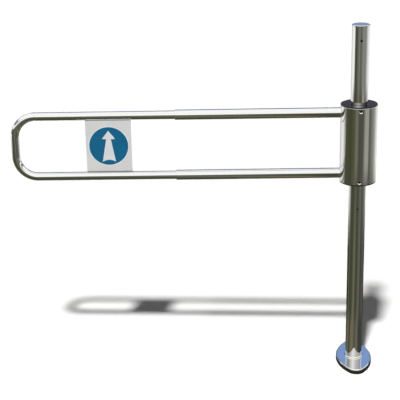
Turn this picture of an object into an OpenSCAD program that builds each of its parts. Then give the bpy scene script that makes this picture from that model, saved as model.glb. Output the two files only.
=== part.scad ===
// Expandable gate: a floor post, a hinged drum around it, and an arm whose looped end slides in two sleeves
// and carries a sign plate. Millimetres. The origin is on the post's axis at the floor, +Z is up, the arm
// points along -X and the sign faces -Y.

/* [Post] */
// Outside diameter of the post tube
post_d = 50.8; // [44:0.1:60]
// Wall of the post tube
post_wall = 2; // [1.5:0.1:4]
// Height of the post's top above the floor
post_h = 1061; // [950:1:1200]
// Height of the cap's polished rim
cap_rim_h = 5; // [3:0.5:8]
// Rounding of the cap's rim
cap_round = 1.2; // [0.5:0.1:1.5]
// Overhang of the cap past the post tube
cap_lip = 0.6; // [0:0.1:2]
// Depth of the cap's plug in the tube
cap_plug_h = 15; // [8:1:30]
// Diameter of the hole in the post's front near its top
side_hole_d = 7; // [5:0.5:10]
// That hole's centre below the post's top
side_hole_drop = 44; // [35:1:80]
// Diameter of the hole in the post's front below the drum
low_hole_d = 5.5; // [4:0.5:8]
// That hole's centre above the floor
low_hole_z = 509; // [300:1:550]

/* [Foot] */
// Width of the oval foot cover along the arm
cover_w = 108; // [98:1:140]
// Length of the oval foot cover across the arm
cover_l = 206; // [190:1:260]
// Radius of the foot cover's rounded ends
cover_end_r = 27; // [20:0.5:40]
// Height of the foot cover
cover_h = 16; // [12:0.5:24]
// Thickness of the foot cover's sheet
cover_wall = 2; // [1:0.1:3]
// Rounding of the foot cover's upper edge
cover_round = 4; // [3.5:0.5:5]
// Gap between the foot cover and the post
cover_post_gap = 0.5; // [0.2:0.1:1]
// Thickness of the floor plate under the cover
plate_t = 6; // [4:0.5:8]
// Gap between the floor plate's edge and the cover's sheet
plate_gap = 3; // [1:0.5:5]
// Diameter of the anchor holes
anchor_d = 9; // [7:0.5:11]
// Anchor hole spacing along the arm
anchor_dx = 44; // [38:1:50]
// Anchor hole spacing across the arm
anchor_dy = 126; // [100:1:140]
// Outside diameter of the collar at the post's foot
collar_d = 57.5; // [56:0.5:70]
// Height of the collar at the post's foot
collar_h = 4; // [3:0.5:8]
// Rounding of the collar's upper edge
collar_round = 2; // [0.5:0.1:2]

/* [Drum] */
// Outside diameter of the drum
drum_d = 108; // [100:1:130]
// Height of the drum over both end discs
drum_h = 238; // [225:1:280]
// Height of the drum's middle above the floor
drum_mid = 709; // [600:1:800]
// Wall of the drum's shell
shell_wall = 2; // [1.5:0.1:4]
// Thickness of an end disc's edge
disc_t = 3; // [2:0.5:6]
// Rounding of an end disc's edge
disc_round = 0.8; // [0.3:0.1:0.9]
// Depth of an end disc's plug in the shell
disc_plug_h = 22; // [20:1:30]
// Gap between an end disc and the post
disc_post_gap = 1; // [0.5:0.1:2]
// Wall of the bushes that turn on the post
turn_bush_wall = 7.5; // [4:0.5:10]
// Gap between the bushes and the post
turn_gap = 0.06; // [0.03:0.01:0.09]
// Height of the collar that carries the drum
thrust_h = 12; // [8:1:20]
// Wall of the collar that carries the drum
thrust_wall = 10; // [6:0.5:14]
// Gap between that collar and the bush above it
thrust_gap = 0.5; // [0.3:0.1:1]

/* [Drum screws] */
// Diameter of a screw's countersink at the drum's front
screw_sink_d = 12; // [10:0.5:12]
// Depth of a screw's countersink
screw_sink_h = 1.6; // [1.3:0.1:1.8]
// Depth of a screw's face below the drum's front
screw_set = 1.2; // [0.6:0.1:1.2]
// Diameter of a screw's shank
screw_d = 6; // [5:0.5:6]
// Length of a screw
screw_l = 11; // [8:1:14]
// Width across the flats of a screw's key socket
screw_key = 4; // [3:0.5:4]
// Depth of a screw's key socket
screw_key_depth = 2.5; // [1:0.5:3]
// Upper screws below the drum's top
top_screw_drop = 12; // [11:0.5:18]
// Lower screws above the drum's foot
low_screw_rise = 11.5; // [9.5:0.5:18]

/* [Sleeves] */
// Distance between the two rails, centre to centre
rail_gap = 185; // [165:1:190]
// Outside diameter of a sleeve
sleeve_d = 30; // [29:0.5:36]
// Wall of a sleeve
sleeve_wall = 1.5; // [1:0.1:1.6]
// Post axis to the sleeves' mouths
sleeve_end = 539; // [480:1:560]
// Length of the guide bush in a sleeve's mouth
mouth_bush_l = 30; // [15:1:60]
// Gap between the loop's tube and the mouth bush
slide_gap = 0.05; // [0.02:0.01:0.08]

/* [Loop] */
// Outside diameter of the loop's tube
tube_d = 25; // [22:0.1:25.4]
// Wall of the loop's tube
tube_wall = 1.5; // [1:0.1:3]
// Post axis to the loop's tip
loop_tip = 1028; // [990:1:1100]
// Radius of the loop's bends on the tube's centre line
bend_r = 64; // [40:1:75]
// Post axis to the inner ends of the loop's legs
leg_end = 200; // [190:1:260]
// Length of the guide on a leg's inner end
leg_guide_l = 25; // [15:1:50]
// Gap between a leg's guide and the sleeve
guide_gap = 0.1; // [0.05:0.01:0.3]

/* [Sign] */
// Width of the sign plate
sign_w = 135; // [100:1:150]
// Thickness of the sign plate
sign_t = 3; // [2:0.5:8]
// Post axis to the sign plate's middle
sign_mid = 737.5; // [725:0.5:800]

/* [Hidden] */
$fn = 96;
cut = 1; // how far a cutting form runs past the face it opens
oval_steps = 16; // straight steps in each arc of the foot's oval
skin_t = 0.01; // thickness of the sheets that the oval's rounded edge is drawn over
screw_turns = [0, 120, 240];
post_r = post_d / 2;
post_bore_r = post_r - post_wall;
tube_top = post_h - cap_rim_h;
side_hole_z = post_h - side_hole_drop;
cover_a = cover_w / 2;
cover_end_y = cover_l / 2 - cover_end_r; // centres of the rounded ends
cover_side_r = (pow(cover_a, 2) + pow(cover_end_y, 2) - pow(cover_end_r, 2)) / (2 * (cover_a - cover_end_r));
cover_side_x = cover_side_r - cover_a; // centres of the long sides
cover_side_turn = atan2(cover_end_y, cover_side_x); // half the angle that a long side takes
collar_r = collar_d / 2;
drum_r = drum_d / 2;
drum_top = drum_mid + drum_h / 2;
drum_foot = drum_mid - drum_h / 2;
shell_top = drum_top - disc_t;
shell_foot = drum_foot + disc_t;
shell_bore_r = drum_r - shell_wall;
turn_bush_r = post_r + turn_gap + turn_bush_wall;
top_screw_z = drum_top - top_screw_drop;
low_screw_z = drum_foot + low_screw_rise;
screw_r = screw_d / 2;
screw_end = -screw_set - screw_l; // a screw's inner end, along its axis from the drum's front
rail_zs = [drum_mid + rail_gap / 2, drum_mid - rail_gap / 2];
sleeve_r = sleeve_d / 2;
sleeve_bore_r = sleeve_r - sleeve_wall;
tube_r = tube_d / 2;
tube_bore_r = tube_r - tube_wall;
loop_end = loop_tip - tube_r;
bend_x = loop_end - bend_r;
bend_dz = rail_gap / 2 - bend_r;

// a round ring standing along Z
module ring(r_out, r_in, h) {
  rotate_extrude() translate([r_in, 0]) square([r_out - r_in, h]);
}

// a round bar along -X from one distance to another
module bar_x(r, from_x, to_x) {
  translate([-from_x, 0, 0]) rotate([0, -90, 0]) cylinder(r = r, h = to_x - from_x);
}

// half the section of a round disc whose upper edge is rounded by c
module disc_section(r, h, c) {
  square([r, h - c]);
  square([r - c, h]);
  translate([r - c, h - c]) intersection() {
    circle(r = c);
    square(c);
  }
}

// points along an arc, without its last one
function arc(centre, r, from, to) = [
  for (i = [0 : oval_steps - 1]) let (t = from + (to - from) * i / oval_steps) centre + r * [cos(t), sin(t)]
];

// the foot's oval, drawn in by inset: two long side arcs and two end arcs
function oval_outline(inset) = concat(
  arc([-cover_side_x, 0], cover_side_r - inset, -cover_side_turn, cover_side_turn),
  arc([0, cover_end_y], cover_end_r - inset, cover_side_turn, 180 - cover_side_turn),
  arc([cover_side_x, 0], cover_side_r - inset, 180 - cover_side_turn, 180 + cover_side_turn),
  arc([0, -cover_end_y], cover_end_r - inset, 180 + cover_side_turn, 360 - cover_side_turn)
);

module oval_slab(inset, h) {
  linear_extrude(height = h) polygon(oval_outline(inset));
}

// an oval slab whose upper edge is rounded over by radius c
module oval_dish(inset, h, c) {
  hull() {
    oval_slab(inset, h - c);
    for (t = [45, 90])
      translate([0, 0, h - c * (1 - sin(t)) - skin_t]) oval_slab(inset + c * (1 - cos(t)), skin_t);
  }
}

module base_plate() color([0.6, 0.6, 0.62]) difference() {
  oval_slab(cover_wall + plate_gap, plate_t);
  for (sx = [-1, 1], sy = [-1, 1])
    translate([sx * anchor_dx / 2, sy * anchor_dy / 2, -cut]) cylinder(d = anchor_d, h = plate_t + 2 * cut);
}

module base_cover() color([0.75, 0.78, 0.82]) difference() {
  oval_dish(0, cover_h, cover_round);
  translate([0, 0, -cut]) oval_dish(cover_wall, cover_h - cover_wall + cut, cover_round - cover_wall);
  translate([0, 0, -cut]) cylinder(r = post_r + cover_post_gap, h = cover_h + 2 * cut);
}

module foot_collar() color([0.8, 0.8, 0.82]) translate([0, 0, cover_h]) rotate_extrude() difference() {
  disc_section(collar_r, collar_h, collar_round);
  square([post_r, collar_h]);
}

module post_tube() color([0.72, 0.72, 0.72]) difference() {
  translate([0, 0, plate_t]) ring(post_r, post_bore_r, tube_top - plate_t);
  translate([0, 0, side_hole_z]) rotate([90, 0, 0]) cylinder(d = side_hole_d, h = post_d);
  translate([0, 0, low_hole_z]) rotate([90, 0, 0]) cylinder(d = low_hole_d, h = post_d);
}

module post_cap() color([0.75, 0.77, 0.8]) translate([0, 0, tube_top]) rotate_extrude() {
  disc_section(post_r + cap_lip, cap_rim_h, cap_round);
  translate([0, -cap_plug_h]) square([post_bore_r, cap_plug_h]);
}

module thrust_collar() color([0.55, 0.55, 0.57])
  translate([0, 0, shell_top - disc_plug_h - thrust_gap - thrust_h])
    ring(post_r + thrust_wall, post_r, thrust_h);

// radius of a screw's countersink at height h above the drum's front, along the screw's axis
function sink_r(h) = screw_r + (screw_sink_d / 2 - screw_r) * (1 + h / screw_sink_h);

// a row of shanks at height z, each opening along its countersink as far out as h
module screw_forms(z, h) {
  for (a = screw_turns) rotate([0, 0, a]) translate([0, -drum_r, z]) rotate([90, 0, 0]) rotate_extrude()
    polygon([[0, h], [sink_r(h), h], [screw_r, -screw_sink_h], [screw_r, screw_end], [0, screw_end]]);
}

module screw_row(z) difference() {
  screw_forms(z, -screw_set);
  for (a = screw_turns) rotate([0, 0, a]) translate([0, -drum_r, z]) rotate([90, 0, 0])
    translate([0, 0, -screw_set - screw_key_depth])
      cylinder(d = screw_key / cos(30), h = screw_key_depth + cut, $fn = 6);
}

module drum_shell() color([0.72, 0.72, 0.72]) difference() {
  translate([0, 0, shell_foot]) ring(drum_r, shell_bore_r, shell_top - shell_foot);
  screw_forms(top_screw_z, cut);
  screw_forms(low_screw_z, cut);
}

// an end disc with its plug hanging down from z = 0
module end_disc() rotate_extrude() {
  difference() {
    disc_section(drum_r, disc_t, disc_round);
    square([post_r + disc_post_gap, disc_t]);
  }
  translate([turn_bush_r, -disc_plug_h]) square([shell_bore_r - turn_bush_r, disc_plug_h]);
}

module drum_top_disc() color([0.12, 0.13, 0.15]) difference() {
  translate([0, 0, shell_top]) end_disc();
  screw_forms(top_screw_z, -screw_set);
}

module drum_bottom_disc() color([0.12, 0.13, 0.15]) difference() {
  translate([0, 0, shell_foot]) mirror([0, 0, 1]) end_disc();
  screw_forms(low_screw_z, -screw_set);
}

module upper_turn_bush() color([0.9, 0.9, 0.88])
  translate([0, 0, shell_top - disc_plug_h]) ring(turn_bush_r, post_r + turn_gap, disc_plug_h);

module lower_turn_bush() color([0.9, 0.9, 0.88])
  translate([0, 0, shell_foot]) ring(turn_bush_r, post_r + turn_gap, disc_plug_h);

module top_disc_screws() color([0.15, 0.15, 0.16]) screw_row(top_screw_z);

module bottom_disc_screws() color([0.15, 0.15, 0.16]) screw_row(low_screw_z);

// a sleeve at height z, its inner end shaped to the drum
module sleeve(z) difference() {
  translate([0, 0, z]) bar_x(sleeve_r, shell_bore_r - sleeve_r, sleeve_end);
  translate([0, 0, z]) bar_x(sleeve_bore_r, 0, sleeve_end + cut);
  cylinder(r = drum_r, h = drum_top);
}

module upper_sleeve() color([0.72, 0.72, 0.72]) sleeve(rail_zs[0]);

module lower_sleeve() color([0.72, 0.72, 0.72]) sleeve(rail_zs[1]);

module mouth_bush(z) translate([0, 0, z]) difference() {
  bar_x(sleeve_bore_r, sleeve_end - mouth_bush_l, sleeve_end);
  bar_x(tube_r + slide_gap, sleeve_end - mouth_bush_l - cut, sleeve_end + cut);
}

module upper_mouth_bush() color([0.15, 0.15, 0.16]) mouth_bush(rail_zs[0]);

module lower_mouth_bush() color([0.15, 0.15, 0.16]) mouth_bush(rail_zs[1]);

// a quarter of the loop's bend at height z, turned about its centre
module bend(r, z, turned) {
  translate([-bend_x, 0, z]) rotate([90, 0, 0]) rotate([0, 0, turned])
    rotate_extrude(angle = 90) translate([bend_r, 0]) circle(r = r);
}

// the loop's run as a solid bar of radius r, its legs ending at from_x
module loop_run(r, from_x) {
  for (z = rail_zs) translate([0, 0, z]) bar_x(r, from_x, bend_x);
  bend(r, drum_mid + bend_dz, 90);
  bend(r, drum_mid - bend_dz, 180);
  translate([-loop_end, 0, drum_mid - bend_dz]) cylinder(r = r, h = 2 * bend_dz);
}

module loop_tube() color([0.72, 0.72, 0.72]) difference() {
  loop_run(tube_r, leg_end);
  loop_run(tube_bore_r, leg_end - cut);
}

module leg_guide(z) translate([0, 0, z]) difference() {
  bar_x(sleeve_bore_r - guide_gap, leg_end, leg_end + leg_guide_l);
  bar_x(tube_r, leg_end - cut, leg_end + leg_guide_l + cut);
}

module upper_leg_guide() color([0.15, 0.15, 0.16]) leg_guide(rail_zs[0]);

module lower_leg_guide() color([0.15, 0.15, 0.16]) leg_guide(rail_zs[1]);

module sign_plate() color([0.8, 0.81, 0.82]) difference() {
  translate([-sign_mid - sign_w / 2, -sign_t / 2, rail_zs[1]]) cube([sign_w, sign_t, rail_gap]);
  for (z = rail_zs) translate([0, 0, z]) bar_x(tube_r, leg_end, bend_x);
}

base_plate();
base_cover();
foot_collar();
post_tube();
post_cap();
thrust_collar();
drum_shell();
drum_top_disc();
drum_bottom_disc();
upper_turn_bush();
lower_turn_bush();
top_disc_screws();
bottom_disc_screws();
upper_sleeve();
lower_sleeve();
upper_mouth_bush();
lower_mouth_bush();
loop_tube();
upper_leg_guide();
lower_leg_guide();
sign_plate();
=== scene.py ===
import math

import bmesh
import bpy
from mathutils import Matrix, Vector


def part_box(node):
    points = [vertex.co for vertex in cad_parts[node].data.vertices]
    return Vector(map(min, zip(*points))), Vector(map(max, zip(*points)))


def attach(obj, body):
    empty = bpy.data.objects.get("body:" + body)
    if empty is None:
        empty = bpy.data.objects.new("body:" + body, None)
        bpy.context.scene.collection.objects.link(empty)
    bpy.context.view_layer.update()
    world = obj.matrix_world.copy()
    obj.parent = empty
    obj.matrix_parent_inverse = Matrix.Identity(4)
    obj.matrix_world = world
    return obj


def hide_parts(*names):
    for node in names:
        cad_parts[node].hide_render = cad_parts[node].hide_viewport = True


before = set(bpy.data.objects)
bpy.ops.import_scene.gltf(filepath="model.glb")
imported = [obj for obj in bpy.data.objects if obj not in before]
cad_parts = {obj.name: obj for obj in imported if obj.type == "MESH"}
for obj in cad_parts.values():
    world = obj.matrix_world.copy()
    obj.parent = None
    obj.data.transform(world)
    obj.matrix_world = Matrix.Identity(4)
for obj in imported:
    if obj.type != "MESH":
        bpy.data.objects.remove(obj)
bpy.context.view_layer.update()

scene = bpy.context.scene
mm = 0.001


# colours, nodes and materials

def toLinear(hexCode):
    parts = [int(hexCode[i:i + 2], 16) / 255 for i in (1, 3, 5)]
    parts = [p / 12.92 if p <= 0.04045 else ((p + 0.055) / 1.055) ** 2.4 for p in parts]
    return (*parts, 1.0)


def addNode(tree, kind, settings=None, links=None):
    node = tree.nodes.new(kind)
    for name, value in (settings or {}).items():
        if isinstance(name, str) and hasattr(node, name):
            setattr(node, name, value)
        else:
            node.inputs[name].default_value = value
    for name, socket in (links or {}).items():
        tree.links.new(socket, node.inputs[name])
    return node


def startMaterial(name):
    material = bpy.data.materials.new(name)
    material.use_nodes = True
    material.node_tree.nodes.clear()
    return material, material.node_tree


def paintRamp(ramp, stops):
    while len(ramp.color_ramp.elements) > 1:
        ramp.color_ramp.elements.remove(ramp.color_ramp.elements[-1])
    for index, (place, hexCode) in enumerate(stops):
        element = ramp.color_ramp.elements[0] if index == 0 else ramp.color_ramp.elements.new(place)
        element.position = place
        element.color = toLinear(hexCode)


# spread is where the noise mostly lies, or two noises multiplied, and depth is how far the relief reaches
buffing = {"spread": (0.1, 0.45), "depth": 0.05 * mm}
graining = {"spread": (0.3, 0.7), "depth": 0.1 * mm}


def polishedSteel(name, look):
    # mirror-polished stainless: clear reflections, a little softened by buffing lines and wiped-on haze
    material, tree = startMaterial(name)
    place = addNode(tree, "ShaderNodeTexCoord")
    along = addNode(tree, "ShaderNodeMapping", {"Scale": look["stretch"]},
                    {"Vector": place.outputs["Object"]})
    lines = addNode(tree, "ShaderNodeTexNoise", {"Scale": 1 / (look["lineMm"] * mm), "Detail": 3.0},
                    {"Vector": along.outputs["Vector"]})
    haze = addNode(tree, "ShaderNodeTexNoise", {"Scale": 1 / (look["hazeMm"] * mm), "Detail": 4.0},
                   {"Vector": place.outputs["Object"]})
    both = addNode(tree, "ShaderNodeMath", {"operation": "MULTIPLY"},
                   {0: lines.outputs["Fac"], 1: haze.outputs["Fac"]})
    low, high = buffing["spread"]
    rough = addNode(tree, "ShaderNodeMapRange",
                    {"From Min": low, "From Max": high, "To Min": look["clear"], "To Max": look["dull"]},
                    {"Value": both.outputs[0]})
    bump = addNode(tree, "ShaderNodeBump", {"Strength": look["bump"], "Distance": buffing["depth"]},
                   {"Height": lines.outputs["Fac"]})
    shader = addNode(tree, "ShaderNodeBsdfPrincipled",
                     {"Base Color": toLinear(look["colour"]), "Metallic": 1.0},
                     {"Roughness": rough.outputs["Result"], "Normal": bump.outputs["Normal"]})
    addNode(tree, "ShaderNodeOutputMaterial", None, {"Surface": shader.outputs["BSDF"]})
    return material


def plainFinish(name, look):
    # moulded or coated surfaces: one colour with a slow drift in shade and a fine grain in gloss and relief
    material, tree = startMaterial(name)
    place = addNode(tree, "ShaderNodeTexCoord")
    grain = addNode(tree, "ShaderNodeTexNoise", {"Scale": 1 / (look["grainMm"] * mm), "Detail": 2.0},
                    {"Vector": place.outputs["Object"]})
    drift = addNode(tree, "ShaderNodeTexNoise", {"Scale": 1 / (look["driftMm"] * mm), "Detail": 3.0},
                    {"Vector": place.outputs["Object"]})
    low, high = graining["spread"]
    shade = addNode(tree, "ShaderNodeValToRGB", None, {"Fac": drift.outputs["Fac"]})
    paintRamp(shade, ((low, look["colour"]), (high, look["drifted"])))
    colour = shade.outputs["Color"]
    if "paintedShadeBands" in look:  # painted shade: darker towards both ends, where the tubes would keep light off the sheet
        middle, start, end, hexCode = look["paintedShadeBands"]
        parts = addNode(tree, "ShaderNodeSeparateXYZ", None, {"Vector": place.outputs["Object"]})
        offset = addNode(tree, "ShaderNodeMath", {"operation": "SUBTRACT", 1: middle},
                         {0: parts.outputs["Z"]})
        away = addNode(tree, "ShaderNodeMath", {"operation": "ABSOLUTE"}, {0: offset.outputs[0]})
        share = addNode(tree, "ShaderNodeMapRange",
                        {"interpolation_type": "SMOOTHSTEP", "From Min": start, "From Max": end},
                        {"Value": away.outputs[0]})
        mixed = addNode(tree, "ShaderNodeMix", {"data_type": "RGBA", 7: toLinear(hexCode)},
                        {0: share.outputs["Result"], 6: colour})
        colour = mixed.outputs[2]
    rough = addNode(tree, "ShaderNodeMapRange",
                    {"From Min": low, "From Max": high, "To Min": look["clear"], "To Max": look["dull"]},
                    {"Value": grain.outputs["Fac"]})
    bump = addNode(tree, "ShaderNodeBump", {"Strength": look["bump"], "Distance": graining["depth"]},
                   {"Height": grain.outputs["Fac"]})
    shader = addNode(tree, "ShaderNodeBsdfPrincipled",
                     {"IOR": look["ior"], "Specular IOR Level": look["gloss"]},
                     {"Base Color": colour, "Roughness": rough.outputs["Result"],
                      "Normal": bump.outputs["Normal"]})
    addNode(tree, "ShaderNodeOutputMaterial", None, {"Surface": shader.outputs["BSDF"]})
    return material


# real buffing lines and grain are finer than the sizes below, which are as coarse as they need to show
steelLook = {"colour": "#F6F6F5", "lineMm": 3.0, "hazeMm": 60.0, "clear": 0.03, "dull": 0.09, "bump": 0.02}
postSteel = polishedSteel("stainlessTubeBuffedUpright", steelLook | {"stretch": (1, 1, 0.02)})
armSteel = polishedSteel("stainlessTubeBuffedLengthwise", steelLook | {"stretch": (0.02, 1, 1)})
flatSteel = polishedSteel("stainlessSheetMirrorPolished",
                          steelLook | {"stretch": (1, 0.3, 1), "clear": 0.02, "dull": 0.06})
# black oxide on steel: near black, a dull gleam on the screws' faces
screwSteel = polishedSteel("steelScrewBlackOxide",
                           {"colour": "#38383A", "lineMm": 0.6, "hazeMm": 9.0, "stretch": (1, 1, 1),
                            "clear": 0.2, "dull": 0.35, "bump": 0.05})
# rolled plate as it left the mill: dull grey with faint rolling lines
millSteel = polishedSteel("mildSteelPlateMillFinish",
                          {"colour": "#A8A8A6", "lineMm": 0.8, "hazeMm": 30.0, "stretch": (1, 0.1, 1),
                           "clear": 0.3, "dull": 0.5, "bump": 0.2})

# black ABS, moulded: deep colour under a glossy skin
discPlastic = plainFinish("blackAbsMouldedGloss",
                          {"colour": "#101013", "drifted": "#151519", "grainMm": 1.5, "driftMm": 40.0,
                           "clear": 0.05, "dull": 0.10, "bump": 0.02, "ior": 1.53, "gloss": 0.35})
# polyamide, turned: dull and slightly waxy, black in the guides and undyed in the bushes
turnedLook = {"grainMm": 0.5, "clear": 0.4, "dull": 0.55, "bump": 0.15, "ior": 1.53, "gloss": 0.5}
guidePlastic = plainFinish("blackPolyamideTurned",
                           turnedLook | {"colour": "#1C1C1D", "drifted": "#242425", "driftMm": 12.0})
bushPlastic = plainFinish("naturalPolyamideTurned",
                          turnedLook | {"colour": "#D9D6C8", "drifted": "#E2DFD2", "driftMm": 15.0})
# cut vinyl film: flat colour with a soft calendered sheen
filmLook = {"grainMm": 2.0, "driftMm": 35.0, "clear": 0.4, "dull": 0.5, "bump": 0.04, "ior": 1.5,
            "gloss": 0.3}
blueVinyl = plainFinish("blueVinylFilm",
                        filmLook | {"colour": "#045B80", "drifted": "#066086", "gloss": 0.15})
whiteVinyl = plainFinish("whiteVinylFilm", filmLook | {"colour": "#CCCDCE", "drifted": "#D1D2D3"})
ringVinyl = plainFinish("paleBlueVinylFilm", filmLook | {"colour": "#D3DDE3", "drifted": "#D8E1E6"})
print("materials made:", len(bpy.data.materials))


# mesh helpers: every form is a skin over rows of points

def turn(count):
    return [2 * math.pi * i / count for i in range(count)]


def quarter(count):
    # angles from level to upright, for rounded edges
    return [math.pi / 2 * i / count for i in range(count + 1)]


def arcPoints(centre, radius, start, end, count):
    steps = [math.radians(start + (end - start) * i / count) for i in range(count + 1)]
    return [(centre[0] + radius * math.cos(a), centre[1] + radius * math.sin(a)) for a in steps]


def withSupport(profile, gap, closed):
    # extra points beside each corner keep the long walls' shading straight
    points = []
    ends = profile[1:] + profile[:1] if closed else profile[1:]
    for (ax, ay), (bx, by) in zip(profile, ends):
        points.append((ax, ay))
        length = math.hypot(bx - ax, by - ay)
        if length > 4 * gap:
            for share in (gap / length, 1 - gap / length):
                points.append((ax + (bx - ax) * share, ay + (by - ay) * share))
    return points if closed else points + [profile[-1]]


def joinRows(a, b):
    count = max(len(a), len(b))
    faces = []
    for i in range(count):
        j = (i + 1) % count
        corners = (a[i % len(a)], a[j % len(a)], b[j % len(b)], b[i % len(b)])
        faces.append(tuple(dict.fromkeys(corners)))
    return faces


def skin(rows, loop=False, caps=False):
    verts, faces, ids = [], [], []
    for row in rows:
        ids.append(list(range(len(verts), len(verts) + len(row))))
        verts.extend(row)
    for a, b in zip(ids, ids[1:] + ids[:1] if loop else ids[1:]):
        faces.extend(joinRows(a, b))
    if caps:
        faces.extend((tuple(ids[0]), tuple(ids[-1])))
    return verts, faces


def ring(radius, z, steps):
    return [(radius * math.cos(a), radius * math.sin(a), z) for a in turn(steps)]


def turnedRows(profile, steps):
    return [ring(r, z, steps) if r > 0 else [(0, 0, z)] for r, z in profile]


def turnedSkin(profile, shape, closed=True):
    return skin(turnedRows(withSupport(profile, shape["support"], closed), shape["steps"]), loop=closed)


def outwardMesh(name, shape):
    mesh = bpy.data.meshes.new(name)
    mesh.from_pydata([tuple(v) for v in shape[0]], [], shape[1])
    work = bmesh.new()
    work.from_mesh(mesh)
    bmesh.ops.recalc_face_normals(work, faces=work.faces)
    work.to_mesh(mesh)
    work.free()
    return mesh


def addPiece(name, shape, body, material, stands=(), crease=30):
    mesh = outwardMesh(name, shape)
    mesh.shade_smooth()
    mesh.set_sharp_from_angle(angle=math.radians(crease))
    mesh.materials.append(material)
    piece = bpy.data.objects.new(name, mesh)
    scene.collection.objects.link(piece)
    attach(piece, body)
    if stands:
        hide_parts(*stands)
    return piece


def cutWith(piece, shape, crease=30):
    # takes a drilled form out of a piece and drops the tool again
    drill = bpy.data.objects.new("drill", outwardMesh("drill", shape))
    scene.collection.objects.link(drill)
    cut = piece.modifiers.new("cut", "BOOLEAN")
    cut.object = drill
    cut.solver = "EXACT"
    made = piece.evaluated_get(bpy.context.evaluated_depsgraph_get())
    piece.data = bpy.data.meshes.new_from_object(made)
    piece.modifiers.clear()
    bpy.data.objects.remove(drill)
    piece.data.shade_smooth()
    piece.data.set_sharp_from_angle(angle=math.radians(crease))


def joined(shapes):
    verts, faces = [], []
    for more, sides in shapes:
        faces.extend(tuple(i + len(verts) for i in side) for side in sides)
        verts.extend(more)
    return verts, faces


def moved(shape, matrix):
    return [tuple(matrix @ Vector(v)) for v in shape[0]], shape[1]


# the foot: oval cover and the bright ring where the post comes through it

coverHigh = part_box("base_cover")[1]
coverShape = {"endRadius": 27 * mm, "rounding": 4 * mm, "sheet": 2 * mm, "postGap": 0.5 * mm, "steps": 40,
              "arcSteps": 8, "support": 0.5 * mm}
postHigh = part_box("post_tube")[1]
postRadius = postHigh.y


def ovalRow(inset, z):
    # two long side arcs and two end arcs that run into each other
    half, end = coverHigh.x, coverShape["endRadius"]
    endY = coverHigh.y - end
    side = (half ** 2 + endY ** 2 - end ** 2) / (2 * (half - end))
    sideX = side - half
    swing = math.degrees(math.atan2(endY, sideX))
    arcs = (((-sideX, 0), side, -swing, swing), ((0, endY), end, swing, 180 - swing),
            ((sideX, 0), side, 180 - swing, 180 + swing), ((0, -endY), end, 180 + swing, 360 - swing))
    row = []
    for centre, radius, start, stop in arcs:
        row += arcPoints(centre, radius - inset, start, stop, coverShape["steps"])[:-1]
    return [(x, y, z) for x, y in row]


def ringRow(radius, z):
    # a round row with a point on the same bearing as each point of the oval
    bearings = [math.atan2(y, x) for x, y, _ in ovalRow(coverShape["rounding"], z)]
    return [(radius * math.cos(a), radius * math.sin(a), z) for a in bearings]


def coverRows():
    top, c, sheet, support = coverHigh.z, coverShape["rounding"], coverShape["sheet"], coverShape["support"]
    hole = postRadius + coverShape["postGap"]
    edge = arcPoints((c, top - c), c, 180, 90, coverShape["arcSteps"])  # inset and height along the rim
    rows = [ovalRow(0, 0), ovalRow(0, support), ovalRow(0, top - c - support)]
    rows += [ovalRow(inset, z) for inset, z in edge]
    rows += [ovalRow(c + support, top), ringRow(hole + support, top), ringRow(hole, top - support)]
    rows += [ringRow(hole, top - sheet), ovalRow(c + support, top - sheet), ovalRow(sheet, top - c)]
    return rows + [ovalRow(sheet, support), ovalRow(sheet, 0)]


addPiece("footCover", skin(coverRows(), loop=True), "post", flatSteel, ["base_cover"])

collarLow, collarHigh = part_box("foot_collar")
collarShape = {"lip": 0.5 * mm, "land": 0.4 * mm, "arcSteps": 8, "steps": 128, "support": 0.2 * mm}


def collarProfile():
    # a low bead: a short upright lip, then an oval shoulder up to the post
    lip, land = collarShape["lip"], collarShape["land"]
    low, width = collarLow.z, collarHigh.y - postRadius - land
    rise = collarHigh.z - low - lip
    shoulder = [(postRadius + land + width * math.cos(t), low + lip + rise * math.sin(t))
                for t in quarter(collarShape["arcSteps"])]
    return [(postRadius, low), (collarHigh.y, low)] + shoulder + [(postRadius, collarHigh.z)]


addPiece("footCollar", turnedSkin(collarProfile(), collarShape), "post", flatSteel,
         ["foot_collar"])
print("foot made")


# the post: tube with two small holes in its front, and a flat cap with a rounded rim

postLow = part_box("post_tube")[0]
postShape = {"wall": 2 * mm, "ease": 0.4 * mm, "holeRoom": 9 * mm, "topHoleRadius": 3.5 * mm,
             "topHoleDrop": 44 * mm, "lowHoleRadius": 2.75 * mm, "lowHoleHeight": 509 * mm,
             "drillSpan": (0.5, 1.3), "drillSteps": 48, "steps": 144, "support": 0.5 * mm}
postHoles = [(postShape["lowHoleHeight"], postShape["lowHoleRadius"]),
             (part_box("post_cap")[1].z - postShape["topHoleDrop"], postShape["topHoleRadius"])]


def postProfile():
    r, ease, bore = postRadius, postShape["ease"], postRadius - postShape["wall"]
    low, top, room = postLow.z, postHigh.z, postShape["holeRoom"]
    # rings of points above and below each hole keep the cuts' faces local
    rings = [height + side * room for height, _ in postHoles for side in (-1, 1)]
    outer = [(r, z) for z in [low] + rings + [top - ease]]
    return outer + [(r - ease, top)] + [(bore, z) for z in [top] + rings[::-1] + [low]]


postTube = addPiece("postTube", turnedSkin(postProfile(), postShape), "post", postSteel,
                    ["post_tube"])
for height, radius in postHoles:
    circle = [(x, height + z) for x, z, _ in ring(radius, 0, postShape["drillSteps"])]
    drillRows = [[(x, -postRadius * share, z) for x, z in circle] for share in postShape["drillSpan"]]
    cutWith(postTube, skin(drillRows, caps=True))

capLow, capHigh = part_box("post_cap")
capShape = {"rounding": 2.0 * mm, "seam": 0.5 * mm, "arcSteps": 8, "steps": 128, "support": 0.3 * mm}


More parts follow.
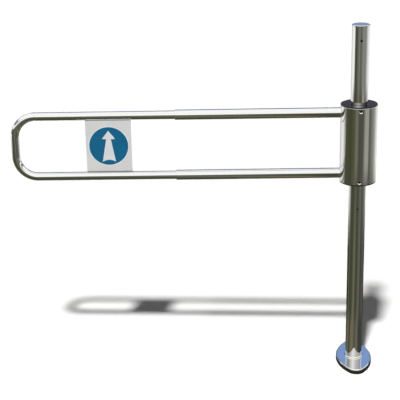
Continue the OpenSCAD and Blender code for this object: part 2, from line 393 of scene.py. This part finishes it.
def capProfile():
    r, top, c, seam = capHigh.y, capHigh.z, capShape["rounding"], capShape["seam"]
    rim, bore = postHigh.z, postRadius - postShape["wall"]
    edge = arcPoints((r - c, top - c), c, 0, 90, capShape["arcSteps"])
    plug = [(0, capLow.z), (bore, capLow.z), (bore, rim)]
    return plug + [(r - seam, rim), (r, rim + seam)] + edge + [(0, top)]


addPiece("postCap", turnedSkin(capProfile(), capShape, closed=False), "post", flatSteel,
         ["post_cap"])
print("post made")


# the drum: rolled shell, two moulded end discs, and screws sunk in countersunk holes

shellLow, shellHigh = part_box("drum_shell")
drumRadius = shellHigh.y
drumShape = {"wall": 2 * mm, "topEase": 1.5 * mm, "footEase": 0.4 * mm, "endRoom": 2 * mm, "arcSteps": 6,
             "steps": 160, "support": 0.5 * mm, "crease": 20}
screwShape = {"sinkRadius": 6 * mm, "sinkDepth": 1.6 * mm, "set": 1.2 * mm, "radius": 3 * mm,
              "end": 12.2 * mm, "key": 4 * mm, "keyDepth": 2.5 * mm, "ease": 0.2 * mm, "room": 8 * mm,
              "toolPast": 1 * mm, "toolEnd": 6 * mm, "turns": (0, 120, 240), "steps": 48,
              "crease": 35}
sinkSlope = (screwShape["sinkRadius"] - screwShape["radius"]) / screwShape["sinkDepth"]
screwNodes = {"topDiscScrews": "top_disc_screws", "bottomDiscScrews": "bottom_disc_screws"}
screwHeights = {name: sum(corner.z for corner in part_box(node)) / 2 for name, node in screwNodes.items()}


def screwPlaces(height):
    # three round the drum at one height, with +Z of each pointing out of the wall
    outward = Matrix.Translation((0, -drumRadius, height)) @ Matrix.Rotation(math.pi / 2, 4, "X")
    return [Matrix.Rotation(math.radians(turned), 4, "Z") @ outward for turned in screwShape["turns"]]


def shellProfile():
    r, bore, c, e = drumRadius, drumRadius - drumShape["wall"], drumShape["topEase"], drumShape["footEase"]
    top = arcPoints((r - c, shellHigh.z - c), c, 0, 90, drumShape["arcSteps"])
    foot = arcPoints((r - e, shellLow.z + e), e, -90, 0, drumShape["arcSteps"])
    rings = sorted(height + side * screwShape["room"] for height in screwHeights.values() for side in (-1, 1))
    rings = [z for z in rings if shellLow.z + drumShape["endRoom"] < z < shellHigh.z - drumShape["endRoom"]]
    return foot + [(r, z) for z in rings] + top + [(bore, shellHigh.z), (bore, shellLow.z)]


drumShell = addPiece("drumShell", turnedSkin(shellProfile(), drumShape), "arm", postSteel,
                     ["drum_shell"], crease=drumShape["crease"])


def sinkTool():
    # the countersink's cone, carried past the wall's front, and the clear hole behind it
    s, past, end = screwShape, screwShape["toolPast"], -screwShape["toolEnd"]
    profile = [(0, past), (s["sinkRadius"] + sinkSlope * past, past), (s["radius"], -s["sinkDepth"]),
               (s["radius"], end), (0, end)]
    return skin(turnedRows(profile, s["steps"]))


for height in screwHeights.values():
    for place in screwPlaces(height):
        cutWith(drumShell, moved(sinkTool(), place), crease=drumShape["crease"])

discShape = {"rounding": 1.2 * mm, "holeGap": 1 * mm, "holeEase": 0.6 * mm, "arcSteps": 6,
             "steps": drumShape["steps"], "support": 0.3 * mm}


def discProfile(shellEnd, face):
    # shellEnd is where the disc meets the shell, face its outer side
    # both discs share the form, one turned over
    side = 1 if face > shellEnd else -1
    r, c, hole = drumRadius, discShape["rounding"], postRadius + discShape["holeGap"]
    ease = discShape["holeEase"]
    edge = [(r - c + c * math.cos(t), face - side * (c - c * math.sin(t)))
            for t in quarter(discShape["arcSteps"])]
    return [(hole, shellEnd), (r, shellEnd)] + edge + [(hole + ease, face), (hole, face - side * ease)]


discs = (("drumTopDisc", "drum_top_disc", shellHigh.z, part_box("drum_top_disc")[1].z),
         ("drumBottomDisc", "drum_bottom_disc", shellLow.z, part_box("drum_bottom_disc")[0].z))
for name, node, shellEnd, face in discs:
    disc = turnedSkin(discProfile(shellEnd, face), discShape)
    addPiece(name, disc, "arm", discPlastic, [node])


def sunkScrew():
    # a flat face below the wall's front with a six-sided key socket, on a plain shank
    s, ease = screwShape, screwShape["ease"]
    face, faceRadius = -s["set"], s["sinkRadius"] - sinkSlope * s["set"]
    outside = ((0, -s["end"]), (s["radius"] - ease, -s["end"]), (s["radius"] - ease, -s["sinkDepth"]),
               (faceRadius - ease / 2, face - ease / 2), (faceRadius - ease, face))
    rows = turnedRows(outside, s["steps"])
    for z, slack in ((face, ease), (face - ease, 0), (face - s["keyDepth"], 0)):
        row = []
        for a in turn(s["steps"]):
            fromFlat = (a % math.radians(60)) - math.radians(30)
            reach = s["key"] / 2 / math.cos(fromFlat) + slack
            row.append((reach * math.cos(a), reach * math.sin(a), z))
        rows.append(row)
    return skin(rows + [[(0, 0, face - s["keyDepth"] - 2 * ease)]])


for name, node in screwNodes.items():
    screws = joined([moved(sunkScrew(), place) for place in screwPlaces(screwHeights[name])])
    addPiece(name, screws, "arm", screwSteel, [node], crease=screwShape["crease"])
print("drum made")


# the sleeves: tubes shaped to the drum with a dressed weld, eased at the mouth

sleeveShape = {"wall": 1.5 * mm, "weld": 1.6 * mm, "weldSteps": 6, "weldRoom": 12 * mm, "weldSink": 0.05 * mm,
               "endSink": 0.1 * mm, "ease": 0.5 * mm, "easeSteps": 4, "boreDepth": 40 * mm, "steps": 96}


def sleeveRows(low, high):
    radius = (high.y - low.y) / 2
    centre, mouth = (low.z + high.z) / 2, low.x
    bore, weld, ease = radius - sleeveShape["wall"], sleeveShape["weld"], sleeveShape["ease"]

    def row(reach, place):
        points = []
        for a in turn(sleeveShape["steps"]):
            y, z = reach * math.cos(a), reach * math.sin(a)
            points.append((place if isinstance(place, float) else place(y), y, centre + z))
        return points

    def drumWall(gap):
        return lambda y: -math.sqrt(drumRadius ** 2 - y ** 2) - gap

    rows = [row(bore, mouth + sleeveShape["boreDepth"]), row(bore, mouth + ease)]
    rows += [row(bore + ease / 2, mouth), row(radius - ease, mouth)]
    rows += [row(radius - ease + ease * math.sin(t), mouth + ease - ease * math.cos(t))
             for t in quarter(sleeveShape["easeSteps"])[1:]]
    rows += [row(radius, mouth + 1.5 * ease), row(radius, -drumRadius - sleeveShape["weldRoom"])]
    for t in quarter(sleeveShape["weldSteps"]):
        reach, gap = radius + weld * (1 - math.cos(t)), weld * (1 - math.sin(t))
        rows.append(row(reach, drumWall(gap - sleeveShape["weldSink"])))
    return rows + [row(bore, drumWall(-sleeveShape["endSink"]))]


for name, node in (("upperSleeve", "upper_sleeve"), ("lowerSleeve", "lower_sleeve")):
    addPiece(name, skin(sleeveRows(*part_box(node)), loop=True), "arm", armSteel, [node])
print("sleeves made")


# the loop: one bent tube, its two legs running back into the sleeves

loopLow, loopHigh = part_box("loop_tube")
loopShape = {"bend": 64 * mm, "bendSteps": 28, "steps": 96, "support": 1.5 * mm}
tubeRadius = (loopHigh.y - loopLow.y) / 2
railHeights = (loopHigh.z - tubeRadius, loopLow.z + tubeRadius)
armMiddle = sum(railHeights) / 2


def loopPath():
    # points and headings along the tube's centre, from the upper leg's inner end to the lower leg's
    bend, support = loopShape["bend"], loopShape["support"]
    tip = loopLow.x + tubeRadius
    bendX = tip + bend
    upper, lower = railHeights

    def bent(centreZ, start):
        turns = [start + 90 * i / loopShape["bendSteps"] for i in range(loopShape["bendSteps"] + 1)]
        points = arcPoints((bendX, centreZ), bend, start, start + 90, loopShape["bendSteps"])
        return [(point, turned + 90) for point, turned in zip(points, turns)]

    path = [((x, upper), 180) for x in (loopHigh.x, loopHigh.x - support, bendX + support)]
    path += bent(upper - bend, 90)
    path += [((tip, z), 270) for z in (upper - bend - support, lower + bend + support)]
    path += bent(lower + bend, 180)
    return path + [((x, lower), 360) for x in (bendX + support, loopHigh.x - support, loopHigh.x)]


def loopRows():
    rows = []
    for (x, z), heading in loopPath():
        out = math.radians(heading - 90)  # square to the tube, in the loop's plane
        rows.append([(x + tubeRadius * math.cos(a) * math.cos(out), tubeRadius * math.sin(a),
                      z + tubeRadius * math.cos(a) * math.sin(out)) for a in turn(loopShape["steps"])])
    return rows


addPiece("loopTube", skin(loopRows(), caps=True), "loop", armSteel, ["loop_tube"])
print("loop made")


# the sign: coated sheet between the rails, with cut-film figures on its front

signLow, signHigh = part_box("sign_plate")
# the sheet's painted shade under the rails: where it starts, where it is full, and its colour
signShape = {"ease": 0.5 * mm, "sink": 0.3 * mm, "paintedShadeFrom": 3.5 * mm, "paintedShadeFull": 1.5 * mm,
             "paintedShadeColour": "#707072", "crease": 20}
signMiddle = (signLow.x + signHigh.x) / 2
figure = {"discRadius": 58 * mm, "ringWidth": 2.2 * mm, "film": 0.15 * mm, "filmEase": 0.03 * mm,
          "discSteps": 128, "tip": 47 * mm, "barb": (19.4 * mm, 22.2 * mm), "neck": (6.9 * mm, 20.8 * mm),
          "foot": (19.8 * mm, -48.5 * mm), "footRise": 6.2 * mm, "footSteps": 10}


def slab(outline, back, front, ease):
    # an outline given as (x, z) points, thickened along y with eased edges
    centreX = sum(p[0] for p in outline) / len(outline)
    centreZ = sum(p[1] for p in outline) / len(outline)
    reach = max(math.hypot(p[0] - centreX, p[1] - centreZ) for p in outline)
    shrink = 1 - ease / reach

    def row(y, share):
        return [(centreX + (x - centreX) * share, y, centreZ + (z - centreZ) * share) for x, z in outline]

    return skin([row(back, shrink), row(back - ease, 1), row(front + ease, 1), row(front, shrink)], caps=True)


def rectangle(left, right, low, high):
    return [(left, low), (right, low), (right, high), (left, high)]


plateHalf = (railHeights[0] - railHeights[1]) / 2 - tubeRadius + signShape["sink"]
plateOutline = rectangle(signLow.x, signHigh.x, armMiddle - plateHalf, armMiddle + plateHalf)
# powder coat on sheet: even, with the faint orange peel of baked powder, and a painted shade along its top
# and bottom edges under the rails
signCoatWithPaintedShade = plainFinish("greyPowderCoatWithPaintedShade",
                       {"colour": "#C8C8C7", "drifted": "#CDCDCB", "grainMm": 1.5, "driftMm": 70.0,
                        "clear": 0.4, "dull": 0.55, "bump": 0.08, "ior": 1.5, "gloss": 0.4,
                        "paintedShadeBands": (armMiddle, plateHalf - signShape["paintedShadeFrom"],
                                       plateHalf - signShape["paintedShadeFull"], signShape["paintedShadeColour"])})
addPiece("signPlate", slab(plateOutline, signHigh.y, signLow.y, signShape["ease"]),
         "loop", signCoatWithPaintedShade, ["sign_plate"], crease=signShape["crease"])


def circleOutline(radius):
    bearings = turn(figure["discSteps"])
    return [(signMiddle + radius * math.cos(a), armMiddle + radius * math.sin(a)) for a in bearings]


def arrowOutline():
    # half the arrow, mirrored, with a hollow arc across its foot
    side = [(0, figure["tip"]), figure["barb"], figure["neck"], figure["foot"]]
    footX, footZ = figure["foot"]
    hollow = []
    for i in range(1, figure["footSteps"]):
        share = 1 - 2 * i / figure["footSteps"]
        hollow.append((footX * share, footZ + figure["footRise"] * (1 - share ** 2)))
    mirrored = [(-x, z) for x, z in reversed(side[1:])]
    return [(signMiddle + x, armMiddle + z) for x, z in side + hollow + mirrored]


films = (("signRing", circleOutline(figure["discRadius"] + figure["ringWidth"]), ringVinyl),
         ("signDisc", circleOutline(figure["discRadius"]), blueVinyl),
         ("signArrow", arrowOutline(), whiteVinyl))  # each lies on the one before it
for layer, (name, outline, film) in enumerate(films, start=1):
    front = signLow.y - layer * figure["film"]
    addPiece(name, slab(outline, front + figure["film"], front, figure["filmEase"]), "loop",
             film, crease=signShape["crease"])
print("sign made")


# solids that stay as they are get their finish here
plainSolids = {"base_plate": millSteel, "thrust_collar": millSteel,
               "upper_turn_bush": bushPlastic, "lower_turn_bush": bushPlastic,
               "upper_mouth_bush": guidePlastic, "lower_mouth_bush": guidePlastic,
               "upper_leg_guide": guidePlastic, "lower_leg_guide": guidePlastic}
for node, material in plainSolids.items():
    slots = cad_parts[node].data.materials
    slots.clear()
    slots.append(material)


# the stage: pale floor, white surroundings, and reflection cards that only polished metal sees

stageLook = {"floorColour": "#FEFEFD", "floorReach": 60.0, "floorTilt": 1.6, "ambient": 0.09, "wallSteps": 48}


def addStage(name, verts, faces, material):
    mesh = bpy.data.meshes.new(name)
    mesh.from_pydata(verts, [], faces)
    mesh.materials.append(material)
    item = bpy.data.objects.new(name, mesh)
    scene.collection.objects.link(item)
    return item


def floorFinish():
    # matte and without a gleam, so that only the shadow shows on it
    material, tree = startMaterial("paleFloor")
    shader = addNode(tree, "ShaderNodeBsdfPrincipled", {"Base Color": toLinear(stageLook["floorColour"]),
                     "Specular IOR Level": 0.0, "Roughness": 0.9})
    addNode(tree, "ShaderNodeOutputMaterial", None, {"Surface": shader.outputs["BSDF"]})
    return material


def cardFinish(name, stops, rampTop, strength):
    # a self-lit card; its colour runs round the post, or up the card where the ramp's top is given
    material, tree = startMaterial(name)
    place = addNode(tree, "ShaderNodeTexCoord")
    if rampTop:
        parts = addNode(tree, "ShaderNodeSeparateXYZ", None, {"Vector": place.outputs["Object"]})
        factor = addNode(tree, "ShaderNodeMapRange", {"From Max": rampTop}, {"Value": parts.outputs["Z"]})
    else:
        factor = addNode(tree, "ShaderNodeTexGradient", {"gradient_type": "RADIAL"},
                         {"Vector": place.outputs["Object"]})
    ramp = addNode(tree, "ShaderNodeValToRGB", None, {"Fac": factor.outputs[0]})
    paintRamp(ramp, stops)
    glow = addNode(tree, "ShaderNodeEmission", {"Strength": strength}, {"Color": ramp.outputs["Color"]})
    addNode(tree, "ShaderNodeOutputMaterial", None, {"Surface": glow.outputs["Emission"]})
    return material


def addCard(name, verts, faces, material):
    card = addStage(name, verts, faces, material)
    card.visible_camera = False
    card.visible_diffuse = False
    card.visible_shadow = False
    card.visible_transmission = False


def roundWall(start, end, distance, low, high):
    # an upright card bent round the post, from one bearing to another in degrees
    steps = stageLook["wallSteps"]
    bearings = [math.radians(start + (end - start) * i / steps) for i in range(steps + 1)]
    verts = [(distance * math.cos(a), distance * math.sin(a), z) for z in (low, high) for a in bearings]
    count = len(bearings)
    return verts, [(i, i + 1, count + i + 1, count + i) for i in range(count - 1)]


# the floor climbs a little towards the left, which gives the shadow its lean; metal mirrors the cards instead
reach = stageLook["floorReach"]
climb = reach * math.tan(math.radians(stageLook["floorTilt"]))
corners = [(-reach, -reach, climb), (reach, -reach, -climb), (reach, reach, -climb), (-reach, reach, climb)]
floor = addStage("floor", corners, [(0, 1, 2, 3)], floorFinish())
floor.visible_glossy = False

# what polished metal mirrors from below: rings of colour round the post, each meant for what stands higher
# places in a ring are shares of a turn, from the left (-X) at 0 past the viewer at 0.23 to the right at 0.5
edgeStops = ((0.0, "#2A2C24"), (0.20, "#2C2A24"), (0.40, "#30302C"), (0.60, "#2A2C28"))
footStops = ((0.0, "#55563A"), (0.015, "#5C5C44"), (0.05, "#403E2C"), (0.10, "#6A6250"), (0.14, "#746C58"),
             (0.19, "#70684F"), (0.245, "#544E42"), (0.30, "#666258"), (0.34, "#66645C"), (0.41, "#3A3C34"),
             (0.55, "#44463E"), (0.90, "#4C523A"), (0.97, "#686C52"))
closeStops = ((0.0, "#44462F"), (0.10, "#44463A"), (0.18, "#6C6E56"), (0.25, "#3E3E32"), (0.37, "#66665D"),
              (0.42, "#3F4039"), (0.50, "#50514A"), (0.56, "#56574F"), (0.62, "#2E2E24"), (0.88, "#2E2E24"),
              (0.94, "#4A4C3E"), (0.97, "#60614F"), (1.0, "#44462F"))
nearStops = ((0.0, "#4A4C3C"), (0.10, "#44463A"), (0.18, "#5C5E50"), (0.25, "#45453A"), (0.37, "#66675C"),
             (0.42, "#4C4D46"), (0.52, "#6E6F68"), (0.60, "#A8A8A2"), (0.70, "#E0E0DA"), (0.85, "#E0E0DA"),
             (0.90, "#D0D0CA"), (0.95, "#A8A8A0"), (0.97, "#74756A"), (1.0, "#4A4C3C"))
midStops = ((0.0, "#4C4C3E"), (0.10, "#45462F"), (0.165, "#55553F"), (0.205, "#76756A"), (0.245, "#4C4C40"),
            (0.315, "#52524A"), (0.355, "#9C9A92"), (0.405, "#9C9A92"), (0.43, "#54544D"), (0.53, "#90908A"),
            (0.58, "#BABAB4"), (0.63, "#EEEEEC"), (0.72, "#C6C4CE"), (0.82, "#C6C4CE"), (0.89, "#F0F0EE"),
            (0.95, "#DCDCD8"), (0.97, "#A4A49E"), (0.985, "#6A6B60"), (1.0, "#4C4C3E"))
farStops = ((0.01, "#F6F6F4"), (0.03, "#50523F"), (0.10, "#46483A"), (0.205, "#7A7C72"), (0.25, "#585A54"),
            (0.35, "#8A8A86"), (0.43, "#7A7A76"), (0.52, "#CCCCCA"), (0.60, "#F4F4F2"), (0.72, "#C6C4CE"),
            (0.82, "#C6C4CE"), (0.92, "#F6F6F4"))
lowerLook = {"reach": 9.0, "lift": 0.5 * mm, "steps": 96}
# squeeze across, start and end of the blend from the ring before; the first is as oval as the foot
lowerRings = ((1.9, 0.122, 0.142, footStops), (1.0, 0.25, 0.45, closeStops), (1.0, 0.9, 1.7, nearStops),
              (1.0, 1.7, 2.2, midStops), (1.0, 3.2, 3.8, farStops))


def lowerFinish():
    # one ring's colours run into the next between two distances from the post
    material, tree = startMaterial("lowerCardGlow")
    place = addNode(tree, "ShaderNodeTexCoord")
    bearing = addNode(tree, "ShaderNodeTexGradient", {"gradient_type": "RADIAL"},
                      {"Vector": place.outputs["Object"]})
    first = addNode(tree, "ShaderNodeValToRGB", None, {"Fac": bearing.outputs["Fac"]})
    paintRamp(first, edgeStops)
    colour = first.outputs["Color"]
    for squeeze, start, end, stops in lowerRings:
        oval = addNode(tree, "ShaderNodeMapping", {"Scale": (squeeze, 1, 1)},
                       {"Vector": place.outputs["Object"]})
        distance = addNode(tree, "ShaderNodeVectorMath", {"operation": "LENGTH"}, {0: oval.outputs["Vector"]})
        ramp = addNode(tree, "ShaderNodeValToRGB", None, {"Fac": bearing.outputs["Fac"]})
        paintRamp(ramp, stops)
        share = addNode(tree, "ShaderNodeMapRange",
                        {"interpolation_type": "SMOOTHSTEP", "From Min": start, "From Max": end},
                        {"Value": distance.outputs["Value"]})
        mixed = addNode(tree, "ShaderNodeMix", {"data_type": "RGBA"},
                        {0: share.outputs["Result"], 6: colour, 7: ramp.outputs["Color"]})
        colour = mixed.outputs[2]
    glow = addNode(tree, "ShaderNodeEmission", None, {"Color": colour})
    addNode(tree, "ShaderNodeOutputMaterial", None, {"Surface": glow.outputs["Emission"]})
    return material


rim = ring(lowerLook["reach"], lowerLook["lift"], lowerLook["steps"])
addCard("lowerCard", rim, [tuple(range(len(rim)))], lowerFinish())

# strips close under the rails, seen from above only, keep the white of the foot and of the lower rail
# out of the rails' undersides
flagColour = "#42452C"
flagCards = {"upperFlag": (-0.54, -0.054, -14.5 * mm, -9 * mm, 0.775),
             "loopFlag": (-0.67, -0.54, -11.5 * mm, -7 * mm, 0.775),
             "endFlag": (-0.95, -0.83, -11.5 * mm, -7 * mm, 0.775),
             "lowerFlag": (-0.14, -0.05, -15 * mm, -8.5 * mm, 0.59)}  # left, right, front, back, height


def flagFinish():
    material, tree = startMaterial("flagCardGlow")
    side = addNode(tree, "ShaderNodeNewGeometry")
    glow = addNode(tree, "ShaderNodeEmission", {"Color": toLinear(flagColour)})
    clear = addNode(tree, "ShaderNodeBsdfTransparent")
    oneSided = addNode(tree, "ShaderNodeMixShader", None,
                       {0: side.outputs["Backfacing"], 1: glow.outputs["Emission"], 2: clear.outputs["BSDF"]})
    addNode(tree, "ShaderNodeOutputMaterial", None, {"Surface": oneSided.outputs["Shader"]})
    return material


flagGlow = flagFinish()
for name, (left, right, front, back, height) in flagCards.items():
    corners = [(left, front, height), (right, front, height), (right, back, height), (left, back, height)]
    addCard(name, corners, [(0, 1, 2, 3)], flagGlow)

# a blue panel behind the object, narrower from step to step upwards, tints level metal
# a pale one round the front shades what the foot mirrors, and a low olive one darkens the rails' undersides
# a lamp panel puts a soft streak on the drum's disc
blueStops = ((0.0, "#4A5A7C"), (0.13, "#4A5A7C"), (0.147, "#8599BC"), (0.157, "#8599BC"), (0.163, "#787A84"),
             (0.232, "#787A84"), (0.242, "#7C9CD2"), (0.275, "#7C9CD2"), (0.30, "#4A5A7C"), (0.62, "#4A5A7C"),
             (0.74, "#FFFFFF"))
roundStops = ((0.0, "#969698"), (0.05, "#98989A"), (0.13, "#CACCCA"), (0.21, "#EEEEEC"), (0.25, "#E6E8E4"),
              (0.33, "#C2C4C0"), (0.45, "#B0B0AC"), (0.53, "#A2A2A6"), (0.94, "#98989C"))
oliveStops = ((0.0, "#5A5C48"), (0.10, "#555A3C"), (0.30, "#555A3C"), (0.50, "#808078"))
streakStops = ((0.0, "#707070"), (0.07, "#A8A8A4"), (0.15, "#EAEAE6"), (0.20, "#FFFFFF"), (0.26, "#E6E6E4"),
               (0.33, "#9C9C9C"), (0.46, "#4C4C4E"), (0.54, "#202022"), (0.90, "#202022"), (1.0, "#707070"))
blueTop = 18.0  # metres, where the blue panels' colours end
# bearings from one end to the other, distance, lower and upper edge, colours, height of the ramp, strength
wallCards = {"bluePanel": ((35, 145), 9.0, (0.05, 4.0), blueStops, blueTop, 1.0),
             "footPanel": ((48, 130), 9.0, (4.0, 5.0), blueStops, blueTop, 1.0),
             "highPanel": ((60, 118), 9.0, (5.0, blueTop), blueStops, blueTop, 1.0),
             "roundPanel": ((-215, 35), 8.0, (3.5, 4.8), roundStops, None, 1.0),
             "olivePanel": ((-206, 14), 8.0, (0.001, 1.45), oliveStops, None, 1.0),
             "streakPanel": ((-215, 35), 7.9, (2.5, 3.5), streakStops, None, 1.5)}
for name, (bearings, distance, heights, stops, rampTop, strength) in wallCards.items():
    finish = cardFinish(name + "Glow", stops, rampTop, strength)
    addCard(name, *roundWall(*bearings, distance, *heights), finish)

world = bpy.data.worlds.new("whiteSurround")
world.use_nodes = True
scene.world = world
tree = world.node_tree
tree.nodes.clear()
path = addNode(tree, "ShaderNodeLightPath")
seen = addNode(tree, "ShaderNodeMath", {"operation": "MAXIMUM"},
               {0: path.outputs["Is Camera Ray"], 1: path.outputs["Is Glossy Ray"]})
shown = addNode(tree, "ShaderNodeMath", {"operation": "MAXIMUM"},
                {0: seen.outputs[0], 1: path.outputs["Is Transmission Ray"]})
soft = addNode(tree, "ShaderNodeBackground", {"Color": (1, 1, 1, 1), "Strength": stageLook["ambient"]})
white = addNode(tree, "ShaderNodeBackground", {"Color": (1, 1, 1, 1), "Strength": 1.0})
mixed = addNode(tree, "ShaderNodeMixShader", None,
                {0: shown.outputs[0], 1: soft.outputs[0], 2: white.outputs[0]})
addNode(tree, "ShaderNodeOutputWorld", None, {"Surface": mixed.outputs[0]})

# one soft sun from high in front, a little left, throws the shadow back across the floor
# the same light falls on the object without shadows of its own, as on a plain studio picture
sunLook = {"heading": (0.125, 0.556, -1.0), "strength": 3.4, "spread": 4.0}


def addSun(name, shadows, floorState):
    lamp = bpy.data.lights.new(name, "SUN")
    lamp.energy = sunLook["strength"]
    lamp.angle = math.radians(sunLook["spread"])
    lamp.use_shadow = shadows
    item = bpy.data.objects.new(name, lamp)
    item.rotation_euler = Vector(sunLook["heading"]).to_track_quat("-Z", "Y").to_euler()
    item.visible_glossy = False  # no hard glint on polished metal
    scene.collection.objects.link(item)
    group = bpy.data.collections.new(name + "Receivers")
    group.objects.link(floor)
    group.collection_objects[0].light_linking.link_state = floorState
    item.light_linking.receiver_collection = group


addSun("floorSun", True, "INCLUDE")
addSun("objectSun", False, "EXCLUDE")

# the camera stands where the photograph was taken from
cameraLook = {"place": (-0.373, -3.408, 1.715), "yaw": 1.64, "pitch": 19.08, "roll": -1.24, "lens": 108.0,
              "sensor": 36.0}
camera = bpy.data.cameras.new("camera")
camera.sensor_width = cameraLook["sensor"]
camera.lens = cameraLook["lens"]
cameraRig = bpy.data.objects.new("camera", camera)
cameraRig.matrix_world = (Matrix.Translation(cameraLook["place"])
                          @ Matrix.Rotation(math.radians(cameraLook["yaw"]), 4, "Z")
                          @ Matrix.Rotation(math.radians(90 - cameraLook["pitch"]), 4, "X")
                          @ Matrix.Rotation(math.radians(cameraLook["roll"]), 4, "Z"))
scene.collection.objects.link(cameraRig)
scene.camera = cameraRig
scene.view_settings.view_transform = "Standard"
print("stage, light and camera set")
